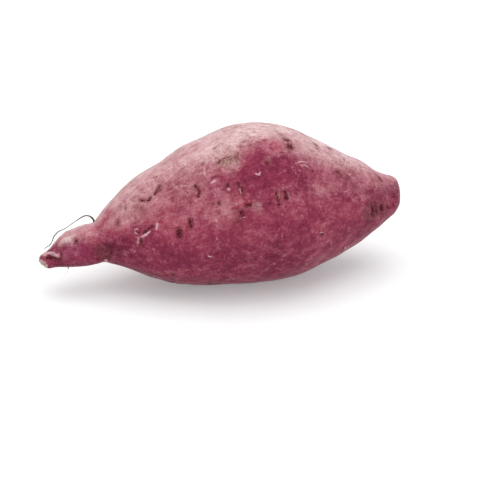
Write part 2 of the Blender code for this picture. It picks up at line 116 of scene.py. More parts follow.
# Marks on the skin, each a stroke: kind, half width, strength, and its points as distance along and turn. A
# pit is a sunken eye, a scar a dark crack, a scab corky tan skin, a fleck a bit of pale lifted skin, and a
# stain the brown skin round old eyes. A few stains and a scar are painted shade instead: in the crease
# behind the neck, and low on the tail.
MARKS = [
    ("stain", 2.2, 0.35, ((30.3, 10), (31.3, 16))), ("stain", 2.6, 0.6, ((31.3, 14), (31.3, 25))),
    ("stain", 1.8, 0.5, ((47.5, 8), (46.6, 16))), ("stain", 1.6, 0.5, ((54.7, 4), (54.2, 10))),
    ("stain", 1.4, 0.4, ((-40.4, 32), (-36.4, 36))), ("stain", 2.2, 0.5, ((-41.8, 39), (-39.6, 46))),
    ("stain", 1.4, 0.7, ((-32.2, 30), (-30.1, 27))), ("stain", 1.7, 0.6, ((-15.4, 41), (-14.9, 46))),
    ("stain", 1.4, 0.5, ((-1.6, 46), (-1.1, 50))), ("stain", 1.8, 0.6, ((4.2, 50), (5.3, 56))),
    ("stain", 1.8, 0.6, ((22.3, 60), (22.8, 67))), ("stain", 1.6, 0.6, ((27.1, 60), (26.5, 65))),
    ("stain", 4, 0.5, ((74.7, 79), (81, 89))), ("stain", 2.2, 0.6, ((73.4, 72), (74.7, 92))),
    ("stain", 2.2, 0.6, ((79.1, 78), (79.9, 96))), ("stain", 1.4, 0.5, ((83, 86), (83, 99))),
    ("stain", 1.8, 0.5, ((-19.4, 68), (-19.9, 73))), ("stain", 2, 0.6, ((-24.7, 74), (-24.7, 80))),
    ("stain", 1.4, 0.6, ((-42.9, 85), (-41.5, 89))), ("stain", 1.4, 0.5, ((-39.6, 75), (-37.2, 70))),
    ("stain", 1.8, 0.5, ((-51.1, 45), (-51.5, 52))),
    # Painted shade: this stain darkens the crease behind the neck
    ("stain", 3.4, 0.6, ((-59.7, 86), (-57.4, 108), (-55.9, 128))),
    ("stain", 1.2, 0.7, ((79.6, 22), (80.6, 29))), ("stain", 2.4, 0.45, ((-2.7, 29), (4.2, 30))),
    ("stain", 1.7, 0.5, ((4.8, 70), (8, 67))), ("stain", 1.5, 0.5, ((19.6, 36), (19.6, 39))),
    ("stain", 2, 0.35, ((55.5, 37), (58.4, 40))), ("stain", 1.2, 0.5, ((-85, 48), (-79.8, 90))),
    ("pit", 0.7, 0.9, ((-30.5, 25), (-31.8, 29), (-33.1, 32))),
    ("pit", 0.35, 0.7, ((-30.1, 30), (-31.8, 30))), ("pit", 0.7, 0.95, ((-40, 32), (-38.8, 34))),
    ("pit", 0.75, 0.95, ((-37.2, 36), (-36.4, 36), (-35.6, 34))), ("pit", 0.45, 0.55, ((-42.2, 40),)),
    ("pit", 0.6, 0.6, ((-40.4, 42), (-40.4, 44))), ("pit", 0.45, 0.6, ((-49.2, 20), (-48.5, 26))),
    ("pit", 0.55, 0.7, ((-46.9, 32),)), ("pit", 1, 0.5, ((-50.9, 46), (-51.3, 50))),
    ("pit", 1.15, 0.95, ((-19.4, 67), (-19.4, 70), (-19.4, 72))),
    ("pit", 1.35, 1, ((-24.7, 75), (-24.7, 78))), ("pit", 0.7, 0.8, ((-24.7, 72), (-24.7, 75))),
    ("pit", 0.6, 0.7, ((-8.5, 58),)), ("pit", 0.8, 0.75, ((-5.8, 58), (-5.8, 59))),
    ("pit", 0.4, 0.6, ((2.1, 57),)), ("pit", 0.5, 0.8, ((5.3, 58),)),
    ("scar", 0.4, 0.8, ((3.7, 48), (4.2, 50), (4.2, 52))),
    ("scar", 0.4, 0.8, ((5.3, 52), (5.8, 54), (5.3, 56))), ("fleck", 0.3, 0.4, ((4.2, 53), (4.8, 57))),
    ("pit", 0.8, 0.9, ((-1.1, 47), (-1.1, 48))), ("fleck", 0.7, 0.7, ((-1.1, 50), (-0.5, 51))),
    ("pit", 0.45, 0.7, ((9.5, 49),)), ("pit", 0.8, 0.9, ((19.1, 38),)),
    ("scab", 0.9, 0.4, ((20.2, 34), (20.2, 36))), ("pit", 0.5, 0.6, ((35.6, 52),)),
    ("pit", 0.7, 0.8, ((-2.7, 12),)), ("pit", 0.7, 0.9, ((-9.6, 24),)),
    ("scab", 0.5, 0.4, ((29.7, 8), (30.8, 10))), ("pit", 0.6, 0.4, ((29.7, 10),)),
    ("pit", 0.6, 0.5, ((31.3, 12),)), ("pit", 0.9, 1, ((30.8, 16), (30.8, 18))),
    ("pit", 0.8, 1, ((31.9, 16), (32.4, 18))), ("pit", 0.8, 1, ((31.3, 22), (31.3, 25))),
    ("pit", 0.8, 1, ((32.4, 23), (32.4, 26))), ("pit", 0.4, 0.6, ((31.3, 22),)),
    ("fleck", 0.7, 0.6, ((30.3, 21),)), ("fleck", 0.6, 0.5, ((32.4, 20),)),
    ("pit", 0.9, 1, ((47.5, 8), (47.5, 11))), ("pit", 0.7, 0.7, ((46.1, 18),)),
    ("pit", 0.9, 1, ((54.7, 4), (55.1, 6))), ("scab", 0.5, 0.8, ((60, 18), (60.4, 21))),
    ("pit", 0.75, 0.75, ((42.2, 42),)), ("pit", 0.85, 0.7, ((55.9, 36), (56.8, 36))),
    ("pit", 0.7, 0.7, ((58, 40),)), ("pit", 0.65, 0.75, ((61.6, 40),)), ("fleck", 0.4, 0.7, ((62.4, 36),)),
    ("fleck", 0.4, 0.5, ((53.8, 42),)), ("pit", 0.5, 0.6, ((47, 50),)),
    ("fleck", 0.3, 0.45, ((33, 39), (35.1, 37), (37.2, 36), (40.3, 36))),
    ("fleck", 0.3, 0.6, ((35.6, 40), (37.2, 39), (39.8, 40))), ("fleck", 0.35, 0.7, ((35.1, 44),)),
    ("pit", 0.55, 0.95, ((79.6, 22), (80.6, 28))), ("scab", 0.4, 0.6, ((85.7, 19),)),
    # The stain at (70.4, 84) is a painted shadow low on the tail
    ("pit", 0.4, 0.6, ((89, 24),)), ("stain", 4.2, 0.75, ((70.4, 84), (73.4, 89))),
    ("scar", 0.5, 0.7, ((73.1, 72), (73.7, 78))), ("scar", 0.9, 1, ((74, 81), (74, 86))),
    ("scar", 0.8, 0.8, ((73.1, 90), (74.4, 94))), ("scar", 0.4, 0.6, ((75.6, 71), (75.9, 80))),
    ("scar", 0.85, 1, ((75.9, 86), (76.5, 92))), ("scar", 1.1, 1, ((79.1, 82), (79.6, 89))),
    ("scar", 0.7, 0.8, ((82.3, 86), (82.5, 92))), ("scar", 0.6, 0.5, ((86.1, 88), (86.6, 96))),
    ("pit", 0.8, 0.5, ((87.1, 62), (86.8, 68))),
    ("scar", 0.6, 0.95, ((-15.4, 40), (-14.4, 42), (-13.9, 46), (-14.4, 48), (-14.9, 49))),
    ("scab", 0.5, 0.7, ((-15.4, 44), (-15.4, 47))), ("fleck", 0.6, 0.9, ((-8, 42), (-6.4, 41))),
    ("scar", 0.3, 0.6, ((-7.5, 39), (-6.4, 38), (-4.8, 38))),
    ("fleck", 0.25, 0.5, ((-21.4, 34), (-17.4, 38))), ("fleck", 0.4, 0.8, ((-9.6, 28), (-10.1, 34))),
    ("fleck", 0.5, 0.6, ((-15.9, 21),)),
    ("fleck", 0.3, 0.8, ((-44.2, 71), (-44.2, 68), (-43.2, 68), (-42.5, 70))),
    ("fleck", 0.3, 0.7, ((-44.2, 72), (-43.2, 75))), ("scar", 0.4, 0.8, ((-43.2, 71), (-42.5, 74))),
    ("fleck", 0.35, 0.6, ((-42.9, 80), (-42.9, 87))), ("scar", 0.55, 0.9, ((-41.8, 83), (-41.5, 88))),
    ("fleck", 0.5, 1, ((-41.1, 79), (-39.2, 76), (-37.2, 72))),
    ("scar", 0.7, 0.9, ((-40, 74), (-38.4, 71), (-36, 67))),
    ("fleck", 0.6, 0.8, ((-33.9, 64), (-34.3, 70))), ("fleck", 0.4, 0.7, ((-7.5, 71), (-7.5, 72))),
    ("fleck", 0.35, 0.6, ((-7.5, 76),)), ("fleck", 0.35, 0.5, ((4.2, 74), (6.4, 74))),
    ("stain", 2.8, 0.6, ((3.2, 71), (2.6, 74))), ("pit", 0.6, 0.6, ((3.2, 76),)),
    ("pit", 0.75, 0.6, ((-6.4, 66),)), ("scar", 0.9, 0.9, ((6.9, 66), (8.5, 66))),
    ("scab", 1.3, 0.25, ((10.6, 67), (11.7, 69))), ("pit", 1.1, 0.95, ((4.2, 70), (4.8, 72))),
    ("scar", 0.4, 0.8, ((21.8, 60), (21.8, 62), (22.3, 66))), ("scab", 0.4, 0.7, ((22.8, 61), (22.8, 64))),
    ("scar", 0.9, 0.95, ((26.5, 60), (26.5, 64))), ("scab", 0.5, 0.8, ((27.6, 60), (27.6, 63))),
    ("scar", 0.5, 0.8, ((22.8, 68), (22.3, 69))), ("fleck", 0.3, 0.8, ((14.9, 20), (16.4, 18), (18, 20))),
    ("scar", 0.25, 0.4, ((15.9, 20), (17.5, 20))),
    ("fleck", 0.45, 0.9, ((12.7, 45), (14.3, 46), (15.4, 44))),
    ("pit", 1, 0.95, ((-70.6, 40), (-70.6, 50))), ("pit", 0.7, 0.6, ((-72, 68),)),
    ("pit", 0.5, 0.5, ((-59.7, 30),)), ("pit", 0.5, 0.5, ((-58.4, 41),)),
    ("fleck", 1.05, 0.95, ((-85.3, 14), (-84.1, 14), (-82.9, 26), (-81, 56), (-79.6, 72))),
    ("fleck", 0.8, 1, ((-86.3, 79), (-85.7, 94), (-85.4, 106))),
    ("fleck", 0.6, 1, ((-56.9, 136), (-56.4, 144))),
    ("pit", 0.9, 1, ((-84.4, 42), (-82.7, 58), (-80.5, 79), (-78.9, 89))),
    ("pit", 0.6, 0.6, ((-78.2, 64), (-77.7, 80))), ("pit", 0.6, 0.6, ((-52.8, 87),)),
    # Painted shade: this dark line, with the crumbs laid along it, is shade in the crease behind the neck
    ("scar", 0.5, 0.9, ((-54.5, 90), (-55, 106), (-55.6, 132))),
    ("scab", 1.7, 0.9, ((-1.6, 29), (1.1, 30))), ("scab", 1.3, 0.7, ((2.6, 29), (4.8, 30))),
    ("scar", 0.35, 0.9, ((-2.7, 28), (-2.1, 27), (-0, 26), (2.1, 27))),
    ("scar", 0.3, 0.7, ((5.3, 26), (4.8, 30))), ("scar", 0.3, 0.7, ((6.4, 26), (5.8, 32))),
    ("pit", 0.5, 0.8, ((-3.2, 28),)), ("pit", 0.4, 0.6, ((-3.2, 24),)),
    ("scar", 0.25, 0.5, ((8.5, 28), (8, 32))),
]


def near(offset, spread):
    """1 at no offset, falling smoothly to nothing at about twice the spread."""
    return np.exp(-((offset / spread) ** 2))


def ramp(value, start, end):
    """0 before the start, 1 past the end, and smooth between them."""
    part = np.clip((value - start) / (end - start), 0, 1)
    return part * part * (3 - 2 * part)


def turn_between(a, b):
    """The angle from b to a in degrees, between -180 and 180."""
    return (a - b + 180) % 360 - 180


def half_width_at(along):
    """Half the root's width at a distance along it."""
    return np.interp(along, STATIONS[:, 0], STATIONS[:, 3])


def between(a, b, c, d, part):
    """The value at a part of the way from b to c, on a smooth line through all four."""
    bend = (2 * a - 5 * b + 4 * c - d) * part**2 + (3 * (b - c) + d - a) * part**3
    return b + 0.5 * ((c - a) * part + bend)


def plain_points(place, turn):
    """The root without relief. A place is 0 at the first station and 1 more at each next one."""
    past_end = np.array((1, 1, 1, -1, -1))
    rows = np.vstack((STATIONS[1] * past_end, STATIONS, STATIONS[-2] * past_end))
    low = np.clip(place.astype(int), 0, LAST - 1)
    row = between(*(rows[low + step] for step in range(4)), (place - low)[..., None])
    along, shift, middle, half_width, half_height = np.moveaxis(row, -1, 0)
    angle = np.radians(turn)
    return np.stack((along, shift - half_width * np.sin(angle), middle + half_height * np.cos(angle)), -1)


def even_places(count):
    """Places of rings that lie evenly along the skin."""
    fine = np.linspace(0, LAST, FINE_STEPS)
    steps = sum(
        np.linalg.norm(np.diff(plain_points(fine, np.full(fine.shape, turn)), axis=0), axis=1)
        for turn in (0.0, 90.0, 180.0, -90.0)
    )
    travelled = np.concatenate(((0,), np.cumsum(steps)))
    return np.interp(np.linspace(0, travelled[-1], count + 2)[1:-1], travelled, fine)


def even_turns(count):
    """Turns of the columns of facets, closer together in front."""
    fine = np.linspace(-180, 180, 3601)
    crowding = np.sin(np.radians(fine - CLOSEST_TURN)) + np.sin(np.radians(180 + CLOSEST_TURN))
    travelled = fine + 180 + np.degrees(FRONT_SHARE) * crowding
    return np.interp(np.linspace(0, 360, count + 1)[:-1], travelled, fine)


place, turn = np.meshgrid(even_places(RINGS), even_turns(FACETS), indexing="ij")
plain = plain_points(place, turn)
along = plain[..., 0]
STEP = 0.01
lengthwise = plain_points(place + STEP, turn) - plain_points(place - STEP, turn)
crosswise = plain_points(place, turn + 1) - plain_points(place, turn - 1)
outward = np.cross(crosswise, lengthwise)
outward /= np.linalg.norm(outward, axis=-1, keepdims=True)


def add_patches(field, rows, sign=1):
    """Adds a smooth patch to a field for each row: distance along, turn, half length, half turn, amount."""
    for middle, at, half_length, half_turn, amount in rows:
        field += sign * amount * near(along - middle, half_length) * near(turn_between(turn, at), half_turn)


# The forms of the body, first the shoulder with a shallow hollow on each side of it
off_shoulder = turn_between(turn, sum(
    (second - first) * ramp(along, start, end)
    for (start, first), (end, second) in zip(SHOULDER_LINE, SHOULDER_LINE[1:])
) + SHOULDER_LINE[0][1])
shoulder = near(off_shoulder, SHOULDER_HALF_TURN)
shoulder -= 0.55 * near(off_shoulder - 34, 17) + 0.2 * near(off_shoulder + 34, 17)
height = SHOULDER_HEIGHT * shoulder * ramp(along, -58, -36) * (1 - ramp(along, 64, 88))
add_patches(height, SWELLINGS)
for start, first, end, second, depth, half_turn in FURROWS:
    part = np.clip((along - start) / (end - start), 0, 1)
    off_furrow = turn_between(turn, first + (second - first) * part)
    height -= depth * np.sin(np.pi * part) * near(off_furrow, half_turn)
add_patches(height, DENTS + FOLDS, -1)

# More eyes where the picture does not show the skin: on the underside, the back and the lower front. Sizes
# round the root are millimetres turned into degrees.
HIDDEN_EYES = 74
chance = random.Random(11)
hidden_eyes = [(middle, at) for middle, at, *_ in DENTS if at < -40 or at > 100]
while len(hidden_eyes) < HIDDEN_EYES:
    middle, at = chance.uniform(-52, 86), chance.uniform(84, 334)
    if middle > -22 or at > 106:
        hidden_eyes.append((middle, at))
for middle, at in hidden_eyes:
    a_millimetre = A_RADIAN / half_width_at(middle)
    kind = chance.choice(("pit", "pit", "pit", "line", "line", "hook", "cork"))
    size = chance.uniform(0.5, 1.0)
    strength = chance.uniform(0.6, 1.0)
    half_turn = chance.uniform(0.8, 1.8) * a_millimetre
    lean = chance.uniform(-0.7, 0.7)
    MARKS.append(("stain", 2.2 * size, 0.5, ((middle, at),)))
    if kind == "pit":
        MARKS.append(("pit", size, strength, ((middle, at),)))
        if chance.random() < 0.4:
            ends = ((middle - 0.9, at - a_millimetre), (middle + 0.9, at - 0.8 * a_millimetre))
            MARKS.append(("fleck", 0.35, strength, ends))
    if kind in ("line", "hook"):
        ends = ((middle - lean, at - half_turn), (middle + 0.4 * lean, at), (middle + lean, at + half_turn))
        MARKS.append(("scar", 0.8 * size, strength, ends))
    if kind == "hook":
        ends = ((middle + 1.1, at - half_turn), (middle + 1.3, at + 0.4 * half_turn))
        MARKS.append(("fleck", 0.4, strength, ends))
    if kind == "cork":
        MARKS.append(("scab", 1.3 * size, 0.8, ((middle - 0.8, at), (middle + 0.8, at + lean))))
        MARKS.append(("pit", 0.5, strength, ((middle - 1.9, at),)))

# The scar at the tail end, where the thin rest of the root broke off
TAIL_SCAR_AT = 91.3
MARKS.append(("stain", 4.0, 0.6, ((91.4, 90),)))
MARKS.append(("scab", 2.4, 0.8, ((91.4, 120), (91.4, -60))))
MARKS.append(("pit", 0.9, 0.9, ((91.5, 90),)))

# How high or deep each kind of mark is, and for each bit of skin how far inside the marks of each kind it
# lies and how strong that mark is. Further outside than this counts the same.
RELIEF_OF = {"stain": 0.0, "pit": -0.42, "scar": -0.32, "scab": 0.10, "fleck": 0.08}
KINDS = tuple(RELIEF_OF)
OUTSIDE = 2.5
inside = {kind: np.full(turn.shape, -OUTSIDE) for kind in KINDS}
strengths = {kind: np.zeros(turn.shape) for kind in KINDS}
fine_places = np.linspace(0, LAST, FINE_STEPS)
fine_along = plain_points(fine_places, np.zeros(FINE_STEPS))[:, 0]
ring_along = along.mean(axis=1)
for kind, half_width, strength, stroke in MARKS:
    alongs, turns = np.array(stroke, float).T
    spots = plain_points(np.interp(alongs, fine_along, fine_places), turns)
    rings = (ring_along > spots[:, 0].min() - 5) & (ring_along < spots[:, 0].max() + 5)
    skin = plain[rings]
    distance = np.linalg.norm(skin - spots[0], axis=-1)
    for first, second in zip(spots, spots[1:]):
        span = second - first
        part = np.clip(((skin - first) @ span) / (span @ span), 0, 1)
        distance = np.minimum(distance, np.linalg.norm(skin - first - part[..., None] * span, axis=-1))
    deeper = half_width - distance > inside[kind][rings]
    strengths[kind][rings] = np.where(deeper, strength, strengths[kind][rings])
    inside[kind][rings] = np.where(deeper, half_width - distance, inside[kind][rings])
    height[rings] += RELIEF_OF[kind] * strength * near(distance, 1.3 * half_width)

# Small unevenness of the skin: lumps, ridges along the root, and wrinkles across it, most at both ends
LUMP_HEIGHT, RIDGE_HEIGHT, WRINKLE_HEIGHT = 0.22, 0.10, 0.07
unevenness = np.empty(turn.shape)
end_wrinkles = 0.4 + 0.9 * ramp(along, 62, 80) + 0.7 * (1 - ramp(along, -66, -50))
for ring in range(RINGS):
    for facet in range(FACETS):
        x, y, z = plain[ring, facet]
        lump = noise.noise((x / 9, y / 9, z / 9))
        ridge = noise.noise((x / 16, y / 3.2, z / 3.2 + 40))
        wrinkle = noise.noise((x / 1.7, y / 9, z / 9 + 80)) * end_wrinkles[ring, facet]
        unevenness[ring, facet] = LUMP_HEIGHT * lump + RIDGE_HEIGHT * ridge + WRINKLE_HEIGHT * wrinkle
end_fade = ramp(place, 0, 1) * ramp(LAST - place, 0, 1)
skin_points = plain + outward * ((height + unevenness) * end_fade - SKIN_INSET)[..., None]

# The break at the tip of the neck, its depth taken from where the tip at this turn reaches furthest the way
# that the break faces, and the flat spot that the root rests on
BREAK_TURN = 100.0
reach_of_tip = (plain_points(fine_places, np.full(FINE_STEPS, BREAK_TURN)) @ BREAK_FACING).max()
over_break = skin_points @ BREAK_FACING - (reach_of_tip - BREAK_DEPTH)
skin_points -= np.maximum(over_break, 0)[..., None] * BREAK_FACING
skin_points -= UNDER_MIDDLE
skin_points[..., 2] = np.maximum(skin_points[..., 2], 0)

# Where the skin is scuffed pale and dusty: above a ragged line along the front of the top, and down to
# another on the back. Distance along, turn.
DUSTY_FRONT = (
    (-90, -30), (-84, -24), (-80, 14), (-76, 42), (-73, 50), (-70, 45), (-66, 33), (-61, 25), (-57, 20),
    (-55, 10), (-52.6, 15), (-49.2, 26), (-45.4, 23), (-39.6, 22), (-34.3, 15), (-29.2, 12), (-26.1, 8),
    (-22.3, 12), (-17.9, 16), (-11.8, 24), (-8.5, 28), (-5.3, 30), (-1.1, 33), (3.2, 34), (5.8, 28),
    (6.4, 20), (10.1, 16), (14.3, 14), (19.1, 16), (21.2, 22), (24.9, 25), (28.7, 28), (30.8, 31),
    (36.2, 30), (40.8, 27), (45.6, 20), (52.1, 13), (56.8, 12), (61.6, 20), (69.0, 22), (74.4, 26),
    (79.9, 26), (86.3, 30), (91, 30),
)
DUSTY_BACK = (
    (-90, -60), (-70, -72), (-52, -58), (-40, -74), (-26, -66), (-12, -86), (4, -72), (14, -78), (26, -64),
    (40, -82), (52, -70), (66, -76), (78, -58), (91, -50),
)
girth = np.radians(1) * half_width_at(along)
front_line = np.interp(along, *zip(*DUSTY_FRONT))
back_line = np.interp(along, *zip(*DUSTY_BACK))
scuffed = np.clip(np.minimum(front_line - turn, turn - back_line) * girth, -12, 30)

# How pale the rest is, from dust and from a painted highlight of the lamp overhead: palest on the crest,
# hardly at all under the belly, and in these patches more or less. The patch at (-75, 27) on the neck is a
# painted highlight, and the one at (92, 95) a painted sheen on the rim of the tail end. Distance along,
# turn, half length, half turn, amount.
DUST_AND_HIGHLIGHT_PATCHES = (
    (48, -14, 28, 12, -0.05), (57, 19, 14, 10, 0.21), (12, 15, 9, 8, 0.26), (23, 28, 8, 6, 0.06),
    (-44, 52, 8, 10, 0.05), (24, -6, 9, 9, 0.10), (50, 30, 9, 7, 0.05), (-32, 16, 7, 6, 0.09),
    (-30, 30, 24, 16, 0.08), (-12, 66, 9, 10, 0.06), (47, 56, 6, 8, 0.11), (72, 46, 8, 14, 0.02),
    (-58, 24, 5, 12, -0.07), (0, 20, 7, 9, 0.10), (60, 50, 8, 10, -0.03), (86, 48, 7, 20, -0.03),
    (-66, 92, 12, 24, -0.035), (-20, 2, 14, 10, -0.06), (-68, 42, 8, 12, 0.06), (72, -9, 12, 12, -0.24),
    (-78, 6, 6, 14, -0.10), (-47, 32, 10, 14, 0.10), (-62, 0, 14, 26, -0.22), (-36, -2, 16, 16, -0.12),
    (-14, -4, 12, 14, -0.08), (-14, 16, 8, 7, 0.07), (-24, 31, 12, 8, -0.05), (16, 38, 18, 15, -0.20),
    (33, 50, 9, 8, -0.05), (20, 22, 12, 6, -0.12), (42, 28, 9, 8, 0.08), (84, 6, 9, 22, -0.22),
    (-82, 0, 6, 30, -0.16), (-44, 54, 6, 8, 0.10), (-75, 27, 3.2, 12, 0.62), (48, 40, 12, 9, -0.06),
    (-55.8, 10, 5, 12, -0.04), (-12.3, -10, 10, 10, -0.05), (0.5, 26, 5, 6, -0.06), (6, 22, 4, 7, 0.08),
    (92, 95, 3.2, 60, 0.20), (-42, -4, 14, 16, -0.04), (4.4, 33, 2.6, 3.6, 0.20),
    (2.4, 37.5, 3.4, 2.4, 0.12), (-2.5, 66, 5, 8, 0.09), (11.5, 68, 2.2, 3, 0.22), (-58, 54, 5, 10, -0.06),
    (-75, 84, 5, 16, 0.06), (-83.5, 0, 4.5, 34, -0.16), (27, 23, 5, 5, -0.14),
)
# Painted highlight and shade along with the dust: palest on the crest, which the lamp overhead lights, least
# pale under the belly
CREST_TURN = -18
PLAIN_DUST, CREST_DUST_AND_HIGHLIGHT, WIDE_DUST_AND_HIGHLIGHT, BELLY_DUST_AND_SHADE = 0.045, 0.245, 0.17, -0.04
off_crest = np.abs(turn_between(turn, CREST_TURN))
dust_and_painted_highlight = PLAIN_DUST + CREST_DUST_AND_HIGHLIGHT * (1 - ramp(off_crest, 12, 46)) + WIDE_DUST_AND_HIGHLIGHT * (1 - ramp(off_crest, 26, 88))
dust_and_painted_highlight += BELLY_DUST_AND_SHADE * ramp(off_crest, 60, 110)
add_patches(dust_and_painted_highlight, DUST_AND_HIGHLIGHT_PATCHES)

# Broad tones of the crimson, some of them painted shade: darker in the crease behind the neck, under the tip
# of the neck, and low on the tail. Distance along, turn, half length, half turn, and how much lighter or
# darker
TONES_AND_PAINTED_SHADE = (
    (16, 42, 14, 13, -0.85), (36, 50, 11, 13, -0.8), (-56, 92, 4.5, 14, -0.9), (86, 48, 7, 20, -1.1),
    (-50, 90, 7, 18, -0.85), (-62, 76, 4.5, 14, -0.55), (-70, 66, 9, 26, -0.35), (22, 62, 14, 12, -0.4),
    (0, 48, 6, 8, -0.3), (-34, 44, 9, 10, 0.4), (-14, 68, 10, 12, 0.2), (-47, 55, 5, 10, 0.5),
    (-58.5, 92, 5, 30, -0.7), (46, 53, 6, 6, 0.9), (62, 54, 11, 14, -0.75), (74, 82, 6, 16, -1.3),
    (83, 66, 6, 16, -0.5), (23, 34, 6, 5, -0.4), (-51, 110, 5, 10, -0.4), (-79, 70, 8, 60, -0.5),
    (-79, 130, 11, 15, -1.1), (-84.5, 0, 4, 28, -1), (-74.2, 80, 4, 12, 0.5), (-44, 8, 16, 16, 0.7),
    (-66, 22, 9, 18, 0.7), (-10, 4, 22, 16, 0.5), (20, 110, 24, 18, -0.3), (50, 130, 16, 20, 0.3),
    (-20, -110, 22, 20, -0.5), (30, -112, 18, 22, 0.35), (-40, -150, 14, 30, 0.3), (10, -160, 20, 26, -0.3),
)
# Painted shade: the underside darker
BELLY_PAINTED_SHADE = -0.75
tone_and_painted_shade = np.zeros(turn.shape)
add_patches(tone_and_painted_shade, TONES_AND_PAINTED_SHADE)
tone_and_painted_shade += BELLY_PAINTED_SHADE * ramp(np.abs(turn), 66, 110)

# Where the cork is finely crackled, on a slanting patch and a small round one, where the neck is violet, and
# where its tip is torn, with an edge this wide
crackle = near(along - 0.5, 10.0) * near(turn_between(turn, 23 + 0.8 * along), 15.0)
add_patches(crackle, ((-40, 38, 7.5, 9, 0.75),))
violet = np.zeros(turn.shape)
add_patches(violet, ((-72.5, 72, 7, 26, 1),))
TORN_EDGE = 0.8
torn = np.clip(over_break / TORN_EDGE + 0.5, 0, 1)

# The lie of the skin: millimetres along it, and round it on a plain cylinder, for what runs along the root
LIE_RADIUS = 30
even_steps = np.linalg.norm(np.diff(plain[:, turn.shape[1] // 2], axis=0), axis=-1)
travel = np.broadcast_to(np.concatenate(((0,), np.cumsum(even_steps)))[:, None], turn.shape)


def placed(name, data):
    """An object of this data, in the scene."""
    made = bpy.data.objects.new(name, data)
    bpy.context.scene.collection.objects.link(made)
    return made


def mesh_of(name, points, faces):
    """A smooth mesh object, from points in millimetres."""
    mesh = bpy.data.meshes.new(name)
    mesh.from_pydata((np.asarray(points) * MM).tolist(), [], faces)
    mesh.shade_smooth()
    return placed(name, mesh)


# The rings joined up, with a point at each end
first_end = plain_points(np.array(0.0), np.array(0.0)) - UNDER_MIDDLE
first_end -= max(0.0, (first_end + UNDER_MIDDLE) @ BREAK_FACING - (reach_of_tip - BREAK_DEPTH)) * BREAK_FACING
last_end = plain_points(np.array(float(LAST)), np.array(0.0)) - UNDER_MIDDLE - (SKIN_INSET, 0, 0)
corners = np.arange(RINGS * FACETS).reshape(RINGS, FACETS)
beside = np.roll(corners, -1, axis=1)
quads = np.stack((corners[:-1], corners[1:], beside[1:], beside[:-1]), -1).reshape(-1, 4).tolist()
tip_point, tail_point = RINGS * FACETS, RINGS * FACETS + 1
fans = [(tip_point, a, b) for a, b in zip(corners[0].tolist(), beside[0].tolist())]
fans += [(tail_point, b, a) for a, b in zip(corners[-1].tolist(), beside[-1].tolist())]
root = mesh_of("skin", np.vstack((skin_points.reshape(-1, 3), first_end, last_end)), quads + fans)

# What the mesh keeps for each of its points, for the skin's material to read. The two end points take the
# mean of the ring beside them.
fields = dict(dust_and_painted_highlight=dust_and_painted_highlight, scuffed=scuffed, tone_and_painted_shade=tone_and_painted_shade, crackle=crackle, violet=violet, torn=torn)
fields |= inside | {kind + "_strength": strengths[kind] for kind in KINDS}
for name, values in fields.items():
    flat = np.concatenate((values.reshape(-1), (values[0].mean(), values[-1].mean())))
    root.data.attributes.new(name, "FLOAT", "POINT").data.foreach_set("value", flat.astype(np.float32))
laid = np.stack((travel, LIE_RADIUS * np.cos(np.radians(turn)), LIE_RADIUS * np.sin(np.radians(turn))), -1)
laid = np.vstack((laid.reshape(-1, 3), laid[0].mean(axis=0), laid[-1].mean(axis=0))).astype(np.float32)
root.data.attributes.new("lie", "FLOAT_VECTOR", "POINT").data.foreach_set("vector", laid.reshape(-1))


def add_node(tree, kind, inputs=(), **settings):
    """Adds a shader node, with its inputs as values or as outputs of other nodes."""
    made = tree.nodes.new("ShaderNode" + kind)
    for name, value in settings.items():
        setattr(made, name, value)
    for name, value in dict(inputs).items():
        if isinstance(value, bpy.types.NodeSocket):
            tree.links.new(value, made.inputs[name])
        else:
            made.inputs[name].default_value = value
    return made


def maths(tree, operation, first, second=0.0):
    """One operation on two values, each a number or an output."""
    return add_node(tree, "Math", {0: first, 1: second}, operation=operation).outputs[0]


def plus(tree, first, *others):
    """All these values added up."""
    for other in others:
        first = maths(tree, "ADD", first, other)
    return first


def times(tree, first, second):
    """Two values multiplied."""
    return maths(tree, "MULTIPLY", first, second)


def swing(tree, noisy, amount):
    """A noise that swings evenly round nothing, by up to half this amount."""
    return times(tree, maths(tree, "SUBTRACT", noisy, 0.5), amount)


def scaled(tree, value, start, end, low=0.0, high=1.0):
    """The value carried smoothly from between start and end to between low and high."""
    inputs = {"Value": value, "From Min": start, "From Max": end, "To Min": low, "To Max": high}
    return add_node(tree, "MapRange", inputs, interpolation_type="SMOOTHSTEP").outputs["Result"]


def mixed(tree, share, first, second):
    """The second colour over the first, by a share."""
    return add_node(tree, "Mix", {0: share, 6: first, 7: second}, data_type="RGBA").outputs[2]


def stretched(tree, spot, rate):
    """A spot with each of its three parts multiplied by a rate."""
    return add_node(tree, "VectorMath", {0: spot, 1: rate}, operation="MULTIPLY").outputs[0]


def mottle(tree, spot, size, detail=3.0, rough=0.5):
    """Cloudy noise with clouds of about this size in millimetres."""
    inputs = {"Vector": spot, "Scale": 1 / size, "Detail": detail, "Roughness": rough}
    return add_node(tree, "TexNoise", inputs).outputs["Fac"]


def kept(tree, name):
    """A value that the mesh keeps for each of its points."""
    return add_node(tree, "Attribute", attribute_name=name).outputs["Fac"]


def colours(tree, share, stops):
    """Colours that pass smoothly from one stop to the next as the share goes from 0 to 1."""
    made = add_node(tree, "ValToRGB", {"Fac": share})
    made.color_ramp.elements.remove(made.color_ramp.elements[1])
    made.color_ramp.elements[0].position = stops[0][0]
    made.color_ramp.elements[0].color = (*stops[0][1], 1)
    for position, colour in stops[1:]:
        made.color_ramp.elements.new(position).color = (*colour, 1)
    return made.outputs["Color"]


def group(name, inputs, outputs):
    """An empty shader group with these inputs and outputs, its input node and its output node."""
    tree = bpy.data.node_groups.new(name, "ShaderNodeTree")
    for socket, kind in inputs:
        tree.interface.new_socket(name=socket, in_out="INPUT", socket_type="NodeSocket" + kind)
    for socket, kind in outputs:
        tree.interface.new_socket(name=socket, in_out="OUTPUT", socket_type="NodeSocket" + kind)
    return tree, tree.nodes.new("NodeGroupInput"), tree.nodes.new("NodeGroupOutput")


